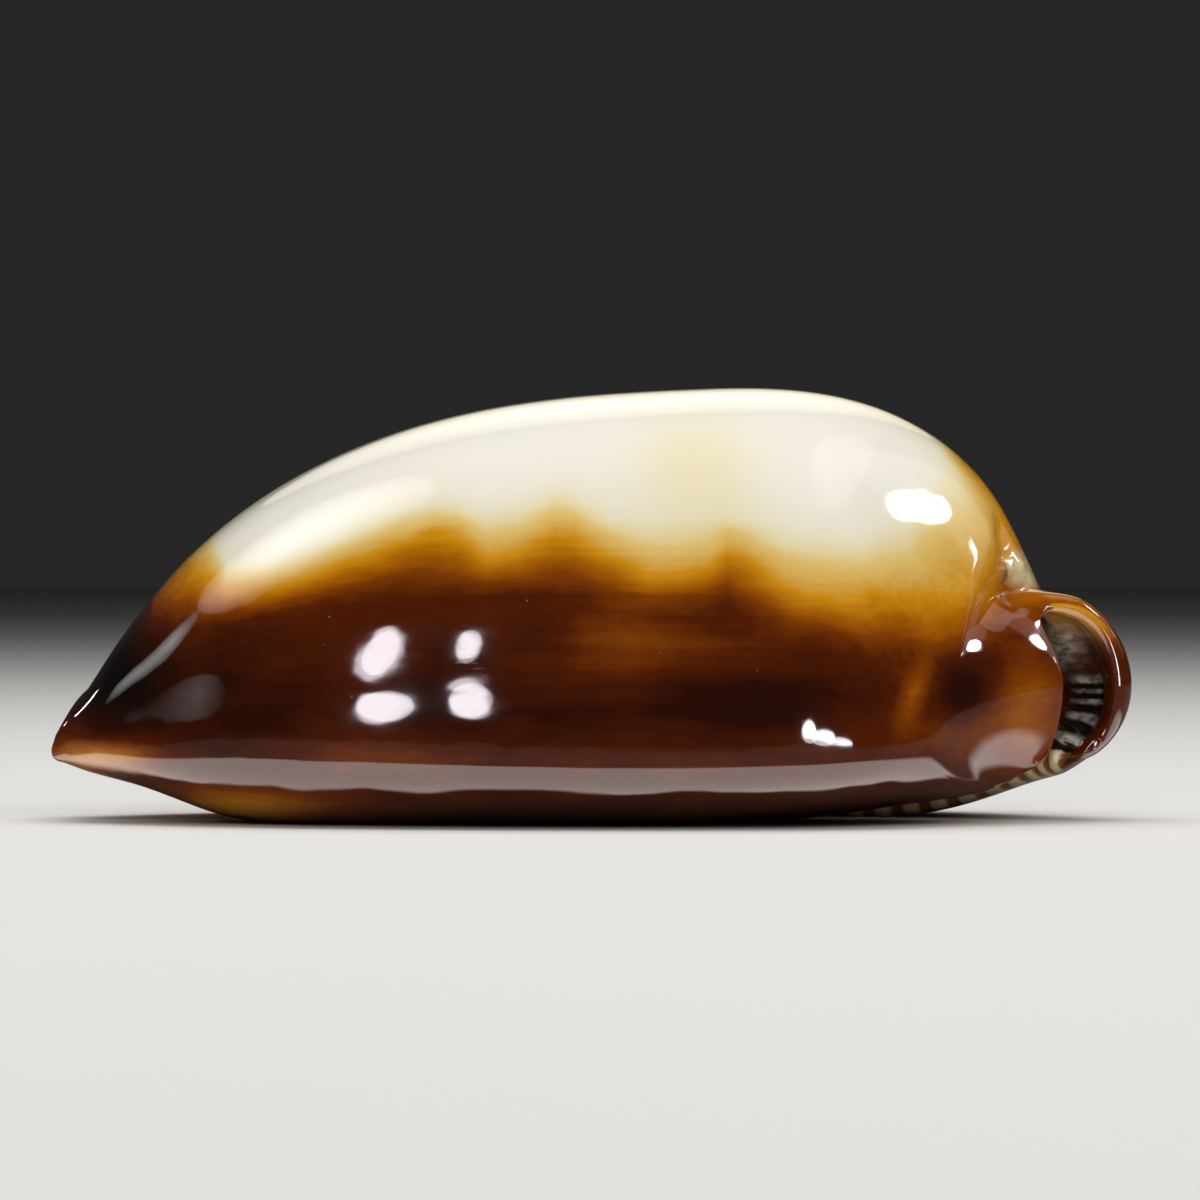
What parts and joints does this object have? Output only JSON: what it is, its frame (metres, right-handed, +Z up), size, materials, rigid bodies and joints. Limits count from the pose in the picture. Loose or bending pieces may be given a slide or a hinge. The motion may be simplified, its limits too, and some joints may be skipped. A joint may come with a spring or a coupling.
{
  "type": "mole cowrie shell",
  "caption": "Elongate cowrie shell, domed above and flat below, with a narrow toothed mouth and a short open canal at each end.",
  "frame": {"origin": "centre of the bounding box in plan, at the resting plane", "axes": "+X along the shell towards the rear (spire) end, +Y towards the outer lip, +Z up through the back"},
  "size_m": [0.07, 0.036, 0.0281],
  "materials": {
    "shell": "naturally polished shell, cream above with dark brown sides and ends, cream teeth"
  },
  "bodies": {
    "root": {"shell": "shell"}
  },
  "joints": []
}
